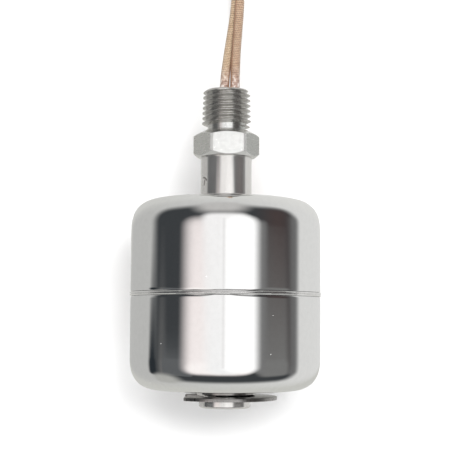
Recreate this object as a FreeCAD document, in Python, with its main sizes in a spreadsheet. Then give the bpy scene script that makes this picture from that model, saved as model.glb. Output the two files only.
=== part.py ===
"""Stainless float level switch with a pipe-thread fitting, in millimetres.

+Z is up, towards the leads. The origin is on the stem's axis, at the hexagon's top face, where
the thread's neck stands. A hollow float slides and spins on a closed stem between the hexagon
and a stop clip. The ring magnet that it carries works a reed switch potted inside the stem.
"""

import FreeCAD, Part
import math
import os
import re

import Sketcher
from FreeCAD import Placement, Rotation, Vector

# Driving sizes: name, value, what it is. Every other size is worked out from these.
SIZES = [
    ("thread_base_diameter", 13.5, "over the taper thread's crests, at its lower end"),
    ("thread_length", 10.05, "from the neck to the end face"),
    ("thread_taper", 0.03125, "radius lost on each millimetre of height"),
    ("thread_lead_in", 1.0, "height of the chamfer at the thread's end"),
    ("thread_depth", 1.7, "from the base crest down to the neck, on the radius"),
    ("neck_height", 0.9, "between the hexagon and the thread"),
    ("hex_shoulder", 1.0875, "hexagon's flat stands out from the stem"),
    ("hex_height", 7.4, ""),
    ("hex_turn", 3.8, "degrees that the front flat is turned"),
    ("hex_corner_land", 0.99, "turned corner stands out from the flat"),
    ("hex_crown", 1.75, "height of the top chamfer at the corners"),
    ("hex_crown_reach", 3.32, "breadth of the top chamfer at the corners"),
    ("hex_base_rise", 0.95, "height of the bottom chamfer at the corners"),
    ("hex_base_reach", 1.2, "breadth of the bottom chamfer at the corners"),
    ("spigot_length", 6.0, "fitting's spigot inside the stem"),
    ("stem_wall", 2.25, ""),
    ("stem_chamfer", 0.5, "at the stem's lower end"),
    ("stub_length", 2.25, "stem below the stop clip"),
    ("plug_thickness", 3.0, "welded plug that closes the stem"),
    ("groove_depth", 1.15, "groove for the stop clip"),
    ("groove_play", 0.1, "groove is wider than the clip"),
    ("clip_thickness", 0.9, ""),
    ("clip_reach", 7.1, "clip's back stands out from the stem"),
    ("clip_prong_reach", 3.85, "clip's prongs stand out from the stem"),
    ("clip_relief", 1.5, "clear space between the clip's three lugs and the stem"),
    ("clip_mouth", 9.9, "width of the clip's open side"),
    ("float_travel", 10.0, ""),
    ("float_diameter", 50.8, ""),
    ("float_height", 50.8, "over both half shells"),
    ("shoulder_radius", 7.0, ""),
    ("shell_thickness", 0.5, ""),
    ("sleeve_play", 0.1, "on the radius, between the stem and the float's sleeve"),
    ("sleeve_wall", 0.6, ""),
    ("sleeve_lip", 1.25, "sleeve stands out of the shell at each end"),
    ("stop_gap", 0.3, "left at each end of the travel"),
    ("seam_width", 1.3, "weld bead around the float"),
    ("seam_height", 0.4, ""),
    ("magnet_ring", 3.4, "radial thickness"),
    ("magnet_height", 12.0, ""),
    ("magnet_rise", 21.75, "from the shell's bottom to the magnet"),
    ("magnet_play", 0.06, "around the sleeve and at each retainer"),
    ("retainer_wall", 0.7, ""),
    ("retainer_height", 3.0, ""),
    ("retainer_flange", 2.6, "flange breadth, from the sleeve outwards"),
    ("lead_diameter", 2.5, "over the braid"),
    ("lead_right_offset", 2.1, "right lead, from the axis"),
    ("lead_left_offset", 0.85, "left lead, from the axis, to the other side"),
    ("lead_cover", 0.2, "potting between a lead and the fitting's bore"),
    ("lead_bottom_depth", 8.95, "insulation reaches this far below the end face"),
    ("core_diameter", 1.2, "tinned stranded conductor"),
    ("potting_recess", 0.4, "potting stands this far below the end face"),
    ("potting_cover", 0.8, "potting between the reed's sleeve and the stem"),
    ("splice_drop", 0.8, "from the hexagon's underside to the upper splices"),
    ("splice_length", 6.0, ""),
    ("splice_wall", 0.5, ""),
    ("shank_diameter", 0.8, "reed's shanks and the return wire"),
    ("upper_shank", 5.8, "from the upper splice to the glass"),
    ("lower_shank", 2.5, "from the glass to the lower splice"),
    ("glass_diameter", 2.5, ""),
    ("glass_length", 20.0, ""),
    ("glass_wall", 0.4, ""),
    ("glass_seal", 3.0, "glass closed onto the shank"),
    ("glass_taper", 1.2, "length of the capsule's cone ends"),
    ("blade_thickness", 0.3, ""),
    ("blade_width", 1.1, ""),
    ("blade_gap", 0.16, ""),
    ("blade_overlap", 1.6, ""),
    ("reed_sleeve_wall", 0.45, ""),
    ("reed_sleeve_margin", 1.0, "sleeve reaches past the glass at each end"),
    ("return_sleeve_wall", 0.35, ""),
    ("return_drop", 2.0, "from the lower splice to the return wire's bend"),
    ("return_sleeve_gap", 0.5, "bare return wire at each end of its sleeve"),
    ("coil_across", 7.5, "the coils' axis lies this far to the left"),
    ("coil_clearance", 2.1, "between the float and the first coil"),
    ("coil_inner_radius", 9.5, ""),
    ("coil_corner", 1.2, "chamfer of a coil's edges"),
    ("turn_gap", 0.1, "between neighbouring turns of a coil"),
    ("tie_width", 2.4, ""),
    ("tie_thickness", 0.9, ""),
    ("tie_crown", 0.09, "the tie's inner side stands off the coil's curve"),
    ("tie_head", 3.6, "side of the tie's locking head"),
    ("tail_drop", 13.0, "each lead's insulation ends this far below the coils' axis"),
    ("tip_length", 8.0, "stripped end of each lead"),
]

# Lengths that several pieces share, as expressions of the driving sizes.
FITTING_BORE = "(lead_right_offset + lead_diameter / 2 + lead_cover)"
GLASS_RADIUS = "(glass_diameter / 2)"
REED_SLEEVE_RADIUS = "(glass_diameter / 2 + reed_sleeve_wall)"
STEM_BORE = f"(lead_right_offset + {REED_SLEEVE_RADIUS} + potting_cover)"
STEM_RADIUS = f"({STEM_BORE} + stem_wall)"
NECK_RADIUS = "(thread_base_diameter / 2 - thread_depth)"
HEX_FLAT = f"({STEM_RADIUS} + hex_shoulder)"
HEX_CORNER = f"({HEX_FLAT} + hex_corner_land)"
GROOVE_RADIUS = f"({STEM_RADIUS} - groove_depth)"
SLEEVE_BORE = f"({STEM_RADIUS} + sleeve_play)"
SLEEVE_RADIUS = f"({SLEEVE_BORE} + sleeve_wall)"
THREAD_END = "(neck_height + thread_length)"
FLOAT_BOTTOM = "(hex_height + 2 * stop_gap + float_travel + 2 * sleeve_lip + float_height)"
SHELL_BOTTOM = f"({FLOAT_BOTTOM} - stop_gap - sleeve_lip)"
SEAM_DEPTH = f"({SHELL_BOTTOM} - float_height / 2)"
CLIP_TOP = FLOAT_BOTTOM
STEM_END = f"({CLIP_TOP} + clip_thickness + stub_length)"
STEM_LENGTH = f"({STEM_END} - hex_height)"
SPLICE_TOP = "(hex_height + splice_drop)"
GLASS_TOP = f"({SPLICE_TOP} + splice_length + upper_shank)"
GLASS_BOTTOM = f"({GLASS_TOP} + glass_length)"
LOWER_SPLICE_TOP = f"({GLASS_BOTTOM} + lower_shank)"
BEND_DEPTH = f"({LOWER_SPLICE_TOP} + splice_length + return_drop)"
CORE_TOP = f"({THREAD_END} - lead_bottom_depth)"
WIRE_SPACING = "(lead_right_offset + lead_left_offset)"
SPLICE_MIDDLE = f"({SPLICE_TOP} + splice_length / 2)"
LOWER_SPLICE_MIDDLE = f"({LOWER_SPLICE_TOP} + splice_length / 2)"
RETURN_TOP = f"({SPLICE_TOP} + splice_length + return_sleeve_gap)"
TURN_PITCH = "(lead_diameter + turn_gap)"
COIL_OUTER = f"(coil_inner_radius + 3 * {TURN_PITCH})"
COIL_MIDDLE = f"(coil_inner_radius + 1.5 * {TURN_PITCH})"
COIL_BACK = "(float_diameter / 2 + coil_clearance)"
COIL_DEPTH = f"(2 * {TURN_PITCH})"

# Each free lead rises from the potting, bends over behind the stem and runs down to its coil.
# Across is from the stem's axis. Back is from the stem's axis on the rise, and from the lead's
# own layer of the coil on the way down. Height is above the fitting's end face on the rise,
# and above the origin on the way down.
RIGHT_RISE = [(2.45, -0.5, 11.0), (3.35, -0.8, 22.0)]
LEFT_RISE = [(0.4, 1.25, 11.0), (2.15, 1.8, 22.0)]
RIGHT_FALL = [
    (3.6, 0.0, 51.0),
    (2.9, 0.3, 32.5),
    (2.4, -0.2, 14.0),
    (3.8, 0.3, -5.0),
    (7.2, 0.0, -22.5),
]
LEFT_FALL = [
    (3.5, 0.0, 49.3),
    (2.9, 0.3, 32.0),
    (2.4, -0.2, 14.0),
    (3.8, 0.3, -5.0),
    (7.2, 0.0, -22.5),
]
RIGHT_BEND = [(3.9, -0.7, 51.0), (3.8, 0.0, 61.0)]
LEFT_BEND = [(3.2, 1.9, 49.3), (3.4, 0.0, 57.4)]
ARC_SHARE = 0.45  # of the shorter run, taken by the arc at each end of it

doc = FreeCAD.newDocument("float_level_switch")
sheet = doc.addObject("Spreadsheet::Sheet", "sizes")
pieces = []


def fill_sheet():
    """The driving sizes, one to a row, each with its alias and what it is."""
    for row, (name, value, note) in enumerate(SIZES, start=1):
        sheet.set(f"A{row}", name)
        sheet.set(f"B{row}", str(value))
        sheet.set(f"C{row}", note)
        sheet.setAlias(f"B{row}", name)
    doc.recompute()


def in_sheet(text):
    """An expression with each size's name pointed at the spreadsheet."""
    return re.sub(r"[a-z]\w+", lambda word: f"{sheet.Name}.{word.group()}", text)


def bind(obj, path, text):
    obj.setExpression(path, in_sheet(text))


def size(name):
    return float(getattr(sheet, name))


def place(obj, across="0", back="0", down="0"):
    """Puts an object's own origin at that place: down is below the origin."""
    bind(obj, "Placement.Base.x", across)
    bind(obj, "Placement.Base.y", back)
    bind(obj, "Placement.Base.z", f"-({down})")


def keep(obj, name):
    """Names a finished piece and lists it for writing."""
    obj.Label = name
    pieces.append(obj)
    return obj


def value_of(text):
    """The present value of an expression, for the shapes that aren't bound to the sheet."""
    return float(sheet.evalExpression(in_sheet(text)))


def new_body(name):
    return doc.addObject("PartDesign::Body", name)


def sketch_on(body, role, name, height="0"):
    """A sketch on one of the body's own origin planes, raised by a height."""
    sketch = body.newObject("Sketcher::SketchObject", name)
    plane = [item for item in body.Origin.OriginFeatures if item.Role == role][0]
    sketch.AttachmentSupport = (plane, [""])
    sketch.MapMode = "FlatFace"
    bind(sketch, "AttachmentOffset.Base.z", height)
    return sketch


def set_distance(sketch, kind, point, text):
    """Holds a point at an expression's distance from the sketch's origin, or on its axis."""
    if text == "0":
        axis = -2 if kind == "DistanceX" else -1
        sketch.addConstraint(Sketcher.Constraint("PointOnObject", *point, axis))
        return
    index = sketch.addConstraint(Sketcher.Constraint(kind, -1, 1, *point, 1.0))
    bind(sketch, f"Constraints[{index}]", text)


def draw_outline(sketch, corners):
    """A closed outline of straight edges through corners given as (across, up) expressions."""
    count = len(corners)
    turn = 2 * math.pi / count
    start = [Vector(9 + 5 * math.cos(turn * k), 9 + 5 * math.sin(turn * k), 0) for k in range(count)]
    for k in range(count):
        sketch.addGeometry(Part.LineSegment(start[k], start[(k + 1) % count]))
    for k in range(count):
        sketch.addConstraint(Sketcher.Constraint("Coincident", k, 2, (k + 1) % count, 1))
    for k, (across, up) in enumerate(corners):
        set_distance(sketch, "DistanceX", (k, 1), across)
        set_distance(sketch, "DistanceY", (k, 1), up)


def draw_circle(sketch, radius):
    sketch.addGeometry(Part.Circle(Vector(0, 0, 0), Vector(0, 0, 1), 1.0))
    sketch.addConstraint(Sketcher.Constraint("Coincident", 0, 3, -1, 1))
    index = sketch.addConstraint(Sketcher.Constraint("Radius", 0, 1.0))
    bind(sketch, f"Constraints[{index}]", radius)


def turn_outline(body, name, corners, kind="PartDesign::Revolution"):
    """Turns an outline, given as (radius, height) expressions, around the body's own Z axis."""
    sketch = sketch_on(body, "XZ_Plane", f"{name}_outline")
    draw_outline(sketch, corners)
    feature = body.newObject(kind, name)
    feature.Profile = sketch
    feature.ReferenceAxis = (sketch, ["V_Axis"])
    feature.Angle = 360
    return feature


def turned_body(name, corners):
    body = new_body(name)
    turn_outline(body, f"{name}_turned", corners)
    return body


def turned_piece(name, corners):
    return keep(turned_body(name, corners), name)


def ring_outline(inner, outer, height):
    return [(inner, "0"), (outer, "0"), (outer, height), (inner, height)]


def removes_material(body, feature):
    """A cut that points away from the solid shows no error, so its volume is compared."""
    doc.recompute()
    before = feature.BaseFeature.Shape.Volume
    if not feature.Shape.Volume < before - 1e-6:
        raise RuntimeError(f"{feature.Name} cuts nothing")
    body.Tip = feature


def pocket_circle(body, name, radius, depth=None, reverse=False):
    """A round hole from the body's XY plane, through everything or to a depth."""
    sketch = sketch_on(body, "XY_Plane", f"{name}_circle")
    draw_circle(sketch, radius)
    cut = body.newObject("PartDesign::Pocket", name)
    cut.Profile = sketch
    cut.Reversed = reverse
    if depth is None:
        cut.Type = "ThroughAll"
    else:
        bind(cut, "Length", depth)
    removes_material(body, cut)


def make_hex_fitting():
    """One turned and milled piece: spigot, hexagon, neck and taper-thread blank, bored through.

    The thread's ridges are left to the finish: the blank is the cone over their crests.
    """
    body = new_body("hex_fitting")
    top = "(spigot_length + hex_height)"
    sketch = sketch_on(body, "XY_Plane", "hexagon", "spigot_length")
    reach = size("glass_diameter") * 4
    tilt = math.radians(30 + size("hex_turn"))
    corners = [tilt + math.radians(60 * k) for k in range(6)]
    points = [Vector(reach * math.cos(a), reach * math.sin(a), 0) for a in corners]
    for k in range(6):
        sketch.addGeometry(Part.LineSegment(points[k], points[(k + 1) % 6]))
    circle = sketch.addGeometry(Part.Circle(Vector(0, 0, 0), Vector(0, 0, 1), reach), True)
    sketch.addConstraint(Sketcher.Constraint("Coincident", circle, 3, -1, 1))
    for k in range(6):
        sketch.addConstraint(Sketcher.Constraint("Coincident", k, 2, (k + 1) % 6, 1))
        sketch.addConstraint(Sketcher.Constraint("PointOnObject", k, 1, circle))
    for k in range(5):
        sketch.addConstraint(Sketcher.Constraint("Equal", 0, k + 1))
    radius = sketch.addConstraint(Sketcher.Constraint("Radius", circle, reach))
    bind(sketch, f"Constraints[{radius}]", f"{HEX_FLAT} * 2 / 3 ^ 0.5")
    slope = sketch.addConstraint(Sketcher.Constraint("Angle", -1, 1, 4, 1, tilt - math.radians(30)))
    bind(sketch, f"Constraints[{slope}]", "hex_turn * 1 °")
    pad = body.newObject("PartDesign::Pad", "hexagon_pad")
    pad.Profile = sketch
    bind(pad, "Length", "hex_height")
    middle = "(spigot_length + hex_height / 2)"
    end = f"({top} + {THREAD_END})"
    crest_end = "(thread_base_diameter / 2 - thread_taper * (thread_length - thread_lead_in))"
    turn_outline(body, "turned_ends", [
        ("0", "0"),
        (STEM_BORE, "0"),
        (STEM_BORE, middle),
        (NECK_RADIUS, middle),
        (NECK_RADIUS, f"{top} + neck_height - thread_depth / 2"),
        ("thread_base_diameter / 2", f"{top} + neck_height"),
        (crest_end, f"{end} - thread_lead_in"),
        (f"{crest_end} - thread_lead_in", end),
        ("0", end),
    ])
    groove = turn_outline(body, "turned_corners", [
        (f"{HEX_CORNER} - hex_crown_reach", top),
        (f"{HEX_CORNER} + 3", top),
        (f"{HEX_CORNER} + 3", "spigot_length"),
        (f"{HEX_CORNER} - hex_base_reach", "spigot_length"),
        (HEX_CORNER, "spigot_length + hex_base_rise"),
        (HEX_CORNER, f"{top} - hex_crown"),
    ], "PartDesign::Groove")
    removes_material(body, groove)
    pocket_circle(body, "wire_bore", FITTING_BORE, reverse=True)
    place(body, down=top)
    keep(body, "hex_fitting")


def make_stem():
    """The stem tube with the stop clip's groove, and the plug welded into its lower end."""
    body = turned_piece("stem_tube", ring_outline(STEM_BORE, STEM_RADIUS, STEM_LENGTH))
    groove = turn_outline(body, "clip_groove", [
        (GROOVE_RADIUS, "stub_length"),
        (f"{STEM_RADIUS} + 1", "stub_length"),
        (f"{STEM_RADIUS} + 1", "stub_length + clip_thickness + groove_play"),
        (GROOVE_RADIUS, "stub_length + clip_thickness + groove_play"),
    ], "PartDesign::Groove")
    removes_material(body, groove)
    chamfer = turn_outline(body, "end_chamfer", [
        (f"{STEM_RADIUS} - stem_chamfer", "0"),
        (f"{STEM_RADIUS} + 1", "0"),
        (f"{STEM_RADIUS} + 1", "stem_chamfer"),
        (STEM_RADIUS, "stem_chamfer"),
    ], "PartDesign::Groove")
    removes_material(body, chamfer)
    place(body, down=STEM_END)
    plug = turned_piece("stem_end_plug", [
        ("0", "0"),
        (STEM_BORE, "0"),
        (STEM_BORE, "plug_thickness"),
        ("0", "plug_thickness"),
    ])
    place(plug, down=STEM_END)


def cylinder(name, radius, height, across="0", back="0", down="0"):
    part = doc.addObject("Part::Cylinder", name)
    bind(part, "Radius", radius)
    bind(part, "Height", height)
    place(part, across, back, down)
    return part


def box(name, length, width, height, across, back, down):
    part = doc.addObject("Part::Box", name)
    bind(part, "Length", length)
    bind(part, "Width", width)
    bind(part, "Height", height)
    place(part, across, back, down)
    return part


def cut(name, base, tool):
    result = doc.addObject("Part::Cut", name)
    result.Base = base
    result.Tool = tool
    return result


def fuse(name, shapes):
    result = doc.addObject("Part::MultiFuse", name)
    result.Shapes = shapes
    return result


def make_stop_clip():
    """E-type retaining ring: three lugs in the stem's groove, open towards -X."""
    bottom = f"{CLIP_TOP} + clip_thickness"
    outer = f"{STEM_RADIUS} + clip_reach"
    disc = cylinder("clip_disc", outer, "clip_thickness", down=bottom)
    seat = cylinder("clip_seat", GROOVE_RADIUS, "clip_thickness", down=bottom)
    mouth = box(
        "clip_mouth", outer, "clip_mouth", "clip_thickness",
        f"-({outer})", "-clip_mouth / 2", bottom,
    )
    front = box(
        "clip_front", outer, f"2 * ({outer})", "clip_thickness",
        f"-({outer}) - {STEM_RADIUS} - clip_prong_reach", f"-({outer})", bottom,
    )
    tools = [seat, mouth, front]
    for name, start in (("clip_relief_back", 20), ("clip_relief_front", 250)):
        relief = cylinder(name, f"{STEM_RADIUS} + clip_relief", "clip_thickness", down=bottom)
        relief.Angle = 90
        relief.Placement.Rotation = Rotation(Vector(0, 0, 1), start)
        tools.append(relief)
    keep(cut("stop_clip", disc, fuse("clip_cutters", tools)), "stop_clip")


def make_float_shell(name, over):
    """A drawn half shell: rounded shoulder, open at the seam, with a hole for the sleeve."""
    body = new_body(name)
    sketch = sketch_on(body, "XY_Plane", f"{name}_circle")
    draw_circle(sketch, "float_diameter / 2")
    pad = body.newObject("PartDesign::Pad", f"{name}_pad")
    pad.Profile = sketch
    bind(pad, "Length", "float_height / 2")
    doc.recompute()
    rim = size("float_height") / 2
    far_edges = [
        f"Edge{k}"
        for k, edge in enumerate(pad.Shape.Edges, start=1)
        if abs(edge.BoundBox.ZMin - rim) < 1e-6
    ]
    shoulder = body.newObject("PartDesign::Fillet", f"{name}_shoulder")
    shoulder.Base = (pad, far_edges)
    bind(shoulder, "Radius", "shoulder_radius")
    doc.recompute()
    open_faces = [
        f"Face{k}"
        for k, face in enumerate(shoulder.Shape.Faces, start=1)
        if face.BoundBox.ZMax < 1e-6
    ]
    hollow = body.newObject("PartDesign::Thickness", f"{name}_wall")
    hollow.Base = (shoulder, open_faces)
    hollow.Reversed = True
    bind(hollow, "Value", "shell_thickness")
    doc.recompute()
    pocket_circle(body, f"{name}_sleeve_hole", SLEEVE_RADIUS, reverse=True)
    body.Placement = Placement(Vector(0, 0, 0), Rotation(Vector(1, 0, 0), 180 if over else 0))
    place(body, down=SEAM_DEPTH)
    keep(body, name)


def make_float():
    """Two half shells welded at mid-height around an inner sleeve that rides on the stem."""
    make_float_shell("float_upper_shell", over=False)
    make_float_shell("float_lower_shell", over=True)
    edge = "float_diameter / 2"
    bead = turned_piece("float_seam_weld", [
        (edge, "0"),
        (f"{edge} + seam_height * 0.8", "seam_width * 0.2"),
        (f"{edge} + seam_height", "seam_width / 2"),
        (f"{edge} + seam_height * 0.8", "seam_width * 0.8"),
        (edge, "seam_width"),
    ])
    place(bead, down=f"{SEAM_DEPTH} + seam_width / 2")
    length = "float_height + 2 * sleeve_lip"
    sleeve = turned_piece("float_sleeve", ring_outline(SLEEVE_BORE, SLEEVE_RADIUS, length))
    place(sleeve, down=f"{FLOAT_BOTTOM} - stop_gap")


def make_magnet():
    """The ring magnet, free to turn on the sleeve, and the two flanged rings that hold it."""
    inner = f"({SLEEVE_RADIUS} + magnet_play)"
    magnet = turned_piece(
        "float_magnet", ring_outline(inner, f"{inner} + magnet_ring", "magnet_height")
    )
    place(magnet, down=f"{SHELL_BOTTOM} - magnet_rise")
    rim = f"{SLEEVE_RADIUS} + retainer_flange"
    collar = f"{SLEEVE_RADIUS} + retainer_wall"
    for name, down, over in (
        ("magnet_retainer_lower", f"{SHELL_BOTTOM} - magnet_rise + magnet_play", True),
        (
            "magnet_retainer_upper",
            f"{SHELL_BOTTOM} - magnet_rise - magnet_height - magnet_play",
            False,
        ),
    ):
        ring = turned_piece(name, [
            (SLEEVE_RADIUS, "0"),
            (rim, "0"),
            (rim, "retainer_wall"),
            (collar, "retainer_wall"),
            (collar, "retainer_height"),
            (SLEEVE_RADIUS, "retainer_height"),
        ])
        ring.Placement = Placement(Vector(0, 0, 0), Rotation(Vector(1, 0, 0), 180 if over else 0))
        place(ring, down=down)


def make_reed_blade(name, shank_foot, shank_length, tongue_foot, back):
    """A flat tongue on a round shank, as one piece."""
    shank = cylinder(
        f"{name}_shank", "shank_diameter / 2", shank_length, "lead_right_offset", down=shank_foot
    )
    tongue = box(
        f"{name}_tongue", "blade_width", "blade_thickness", TONGUE_LENGTH,
        "lead_right_offset - blade_width / 2", back, tongue_foot,
    )
    keep(fuse(name, [shank, tongue]), name)


TONGUE_LENGTH = "(glass_length / 2 - glass_seal - glass_taper + blade_overlap / 2)"


def make_reed():
    """The reed switch: a sealed glass capsule with two overlapping blades, in its sleeve."""
    shank = "shank_diameter / 2"
    bulge = GLASS_RADIUS
    hollow = f"({GLASS_RADIUS} - glass_wall)"
    glass = turned_piece("reed_glass", [
        (shank, "0"),
        (bulge, "glass_taper"),
        (bulge, "glass_length - glass_taper"),
        (shank, "glass_length"),
        (shank, "glass_length - glass_seal"),
        (hollow, "glass_length - glass_seal - glass_taper"),
        (hollow, "glass_seal + glass_taper"),
        (shank, "glass_seal"),
    ])
    place(glass, "lead_right_offset", down=GLASS_BOTTOM)
    root = "(glass_seal + glass_taper)"
    upper_root = f"({GLASS_TOP} + {root})"
    lower_root = f"({GLASS_BOTTOM} - {root})"
    make_reed_blade(
        "reed_blade_upper", upper_root, f"{upper_root} - {SPLICE_MIDDLE}",
        f"{upper_root} + {TONGUE_LENGTH}", "-blade_gap / 2 - blade_thickness",
    )
    make_reed_blade(
        "reed_blade_lower", LOWER_SPLICE_MIDDLE, f"{LOWER_SPLICE_MIDDLE} - {lower_root}",
        lower_root, "blade_gap / 2",
    )
    length = "glass_length + 2 * reed_sleeve_margin"
    foot = f"{GLASS_BOTTOM} + reed_sleeve_margin"
    sleeve = turned_piece("reed_sleeve", ring_outline(bulge, REED_SLEEVE_RADIUS, length))
    place(sleeve, "lead_right_offset", down=foot)
    return cylinder("reed_room", REED_SLEEVE_RADIUS, length, "lead_right_offset", down=foot)


def make_wiring():
    """Bare ends of the leads, crimp splices and the return wire, all inside the potting."""
    shank = "shank_diameter / 2"
    core = "core_diameter / 2"
    barrel = f"({core} + splice_wall)"
    cores = f"{CORE_TOP} + {SPLICE_MIDDLE}"
    for name, across in (("right", "lead_right_offset"), ("left", "-lead_left_offset")):
        bare = f"lead_{name}_core"
        keep(cylinder(bare, core, cores, across, down=SPLICE_MIDDLE), bare)
        splice = turned_piece(f"splice_{name}", [
            (shank, "0"),
            (barrel, "0"),
            (barrel, "splice_length"),
            (core, "splice_length"),
            (core, "splice_length / 2"),
            (shank, "splice_length / 2"),
        ])
        place(splice, across, down=f"{SPLICE_TOP} + splice_length")
    lower = turned_piece("splice_lower", ring_outline(shank, f"{shank} + splice_wall", "splice_length"))
    place(lower, "lead_right_offset", down=f"{LOWER_SPLICE_TOP} + splice_length")
    short = cylinder(
        "return_wire_short", shank, f"{BEND_DEPTH} - {LOWER_SPLICE_MIDDLE}",
        "lead_right_offset", down=BEND_DEPTH,
    )
    tall = cylinder(
        "return_wire_tall", shank, f"{BEND_DEPTH} - {SPLICE_MIDDLE}",
        "-lead_left_offset", down=BEND_DEPTH,
    )
    bend = doc.addObject("Part::Torus", "return_wire_bend")
    bind(bend, "Radius1", f"{WIRE_SPACING} / 2")
    bind(bend, "Radius2", shank)
    bend.Angle3 = 180
    bend.Placement = Placement(Vector(0, 0, 0), Rotation(Vector(1, 0, 0), -90))
    place(bend, f"lead_right_offset - {WIRE_SPACING} / 2", down=BEND_DEPTH)
    keep(fuse("return_wire", [short, bend, tall]), "return_wire")
    sleeve = turned_piece("return_sleeve", ring_outline(
        shank, f"{shank} + return_sleeve_wall", f"{BEND_DEPTH} - return_sleeve_gap - {RETURN_TOP}"
    ))
    place(sleeve, "-lead_left_offset", down=f"{BEND_DEPTH} - return_sleeve_gap")


def cord_spine(points):
    """Straight runs joined by arcs that are tangent to both; prints the smallest radius."""
    edges = []
    start = points[0]
    smallest = float("inf")
    for before, corner, after in zip(points, points[1:], points[2:]):
        back_way = (before - corner).normalize()
        on_way = (after - corner).normalize()
        half_turn = (math.pi - back_way.getAngle(on_way)) / 2
        reach = ARC_SHARE * min(before.distanceToPoint(corner), after.distanceToPoint(corner))
        radius = reach / math.tan(half_turn)
        smallest = min(smallest, radius)
        middle_way = (back_way + on_way).normalize()
        drop = radius / math.cos(half_turn) - radius
        leave = corner + back_way * reach
        join = corner + on_way * reach
        edges.append(Part.LineSegment(start, leave).toShape())
        edges.append(Part.Arc(leave, corner + middle_way * drop, join).toShape())
        start = join
    edges.append(Part.LineSegment(start, points[-1]).toShape())
    print(f"smallest radius {smallest:.1f}")
    return Part.Wire(edges)


def make_cord(name, points):
    """One lead as a solid tube of the braid's diameter along its route."""
    spine = cord_spine(points)
    radius = size("lead_diameter") / 2
    first_way = (points[1] - points[0]).normalize()
    ring = Part.Wire(Part.makeCircle(radius, points[0], first_way))
    tube = spine.makePipeShell([ring], True, False)
    whole = math.pi * radius**2 * spine.Length
    print(f"{name}: length {spine.Length:.1f}, volume {tube.Volume:.0f} against {whole:.0f}")
    if abs(tube.Volume - whole) > 0.02 * whole:
        raise RuntimeError(f"{name} is pinched")
    cord = doc.addObject("Part::Feature", name)
    cord.Shape = tube
    return keep(cord, name)


def lead_route(offset, layer, rise, bend, fall):
    """A lead's points, from inside the potting to the outer turn of its coil."""
    end_face = value_of(THREAD_END)
    bottom = value_of(CORE_TOP)
    exit_across = value_of(offset)
    entry = value_of(f"{COIL_OUTER} - {TURN_PITCH} / 2 - coil_across")
    points = [Vector(exit_across, 0, bottom), Vector(exit_across, 0, end_face + 1)]
    points += [Vector(x, y, end_face + z) for x, y, z in rise]
    near, top = bend
    points.append(Vector(*near))
    points.append(Vector(top[0], (near[1] + layer) / 2, top[2]))
    points += [Vector(x, layer + y, z) for x, y, z in fall]
    points.append(Vector(entry, layer, 5 - value_of(SEAM_DEPTH)))
    return points


def make_leads():
    """Both free leads down to their coils, in two layers each, left one nearer the float."""
    left_layer = value_of(f"{COIL_BACK} + 1.5 * {TURN_PITCH}")
    right_layer = value_of(f"{COIL_BACK} + 2.5 * {TURN_PITCH}")
    left = lead_route("-lead_left_offset", left_layer, LEFT_RISE, LEFT_BEND, LEFT_FALL)
    right = lead_route("lead_right_offset", right_layer, RIGHT_RISE, RIGHT_BEND, RIGHT_FALL)
    return make_cord("lead_left", left), make_cord("lead_right", right)


def make_coil(name, front, tail_layer):
    """Outer shape of a lead wound flat behind the float, with its tail hanging straight."""
    outer = COIL_OUTER
    ring = turned_body(f"{name}_ring", [
        ("coil_inner_radius + coil_corner", "0"),
        (f"{outer} - coil_corner", "0"),
        (outer, "coil_corner"),
        (outer, f"{COIL_DEPTH} - coil_corner"),
        (f"{outer} - coil_corner", COIL_DEPTH),
        ("coil_inner_radius + coil_corner", COIL_DEPTH),
        ("coil_inner_radius", f"{COIL_DEPTH} - coil_corner"),
        ("coil_inner_radius", "coil_corner"),
    ])
    ring.Placement = Placement(Vector(0, 0, 0), Rotation(Vector(1, 0, 0), -90))
    place(ring, "-coil_across", front, SEAM_DEPTH)
    layer = f"{COIL_BACK} + {tail_layer} * {TURN_PITCH}"
    across = f"{COIL_MIDDLE} - coil_across"
    foot = f"({SEAM_DEPTH} + tail_drop)"
    tail = cylinder(
        f"{name}_tail", "lead_diameter / 2", f"tail_drop - {COIL_OUTER} / 2", across, layer, foot
    )
    keep(fuse(name, [ring, tail]), name)
    tip = name.replace("_coil", "_tip")
    keep(cylinder(tip, "core_diameter / 2", "tip_length", across, layer, f"{foot} + tip_length"), tip)


def make_tie():
    """A cable tie around both coils at their lowest point, with its locking head."""
    bottom = f"({SEAM_DEPTH} + {COIL_OUTER})"
    inside = f"(3 * {TURN_PITCH} + tie_crown)"
    depth = f"(2 * {COIL_DEPTH})"
    left = "-coil_across - tie_width / 2"
    band = box(
        "tie_band", "tie_width", f"{depth} + 2 * tie_thickness", f"{inside} + 2 * tie_thickness",
        left, f"{COIL_BACK} - tie_thickness", f"{bottom} + tie_thickness",
    )
    room = box("tie_room", "tie_width", depth, inside, left, COIL_BACK, bottom)
    head = box(
        "tie_locking_head", "tie_head", "tie_head", "tie_head / 2",
        "-coil_across - tie_head / 2", f"{COIL_BACK} + {COIL_DEPTH} - tie_head / 2",
        f"{bottom} + tie_head / 2",
    )
    keep(cut("lead_tie", fuse("tie_outside", [band, head]), room), "lead_tie")


def make_potting(buried):
    """Resin that fills the stem and the fitting's bore around everything inside them."""
    fill = turned_body("potting_fill", [
        ("0", "0"),
        (STEM_BORE, "0"),
        (STEM_BORE, f"{STEM_LENGTH} - plug_thickness - spigot_length"),
        (FITTING_BORE, f"{STEM_LENGTH} - plug_thickness - spigot_length"),
        (FITTING_BORE, f"{STEM_END} - plug_thickness + {THREAD_END} - potting_recess"),
        ("0", f"{STEM_END} - plug_thickness + {THREAD_END} - potting_recess"),
    ])
    place(fill, down=f"{STEM_END} - plug_thickness")
    keep(cut("potting_compound", fill, fuse("potting_cutters", buried)), "potting_compound")


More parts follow.
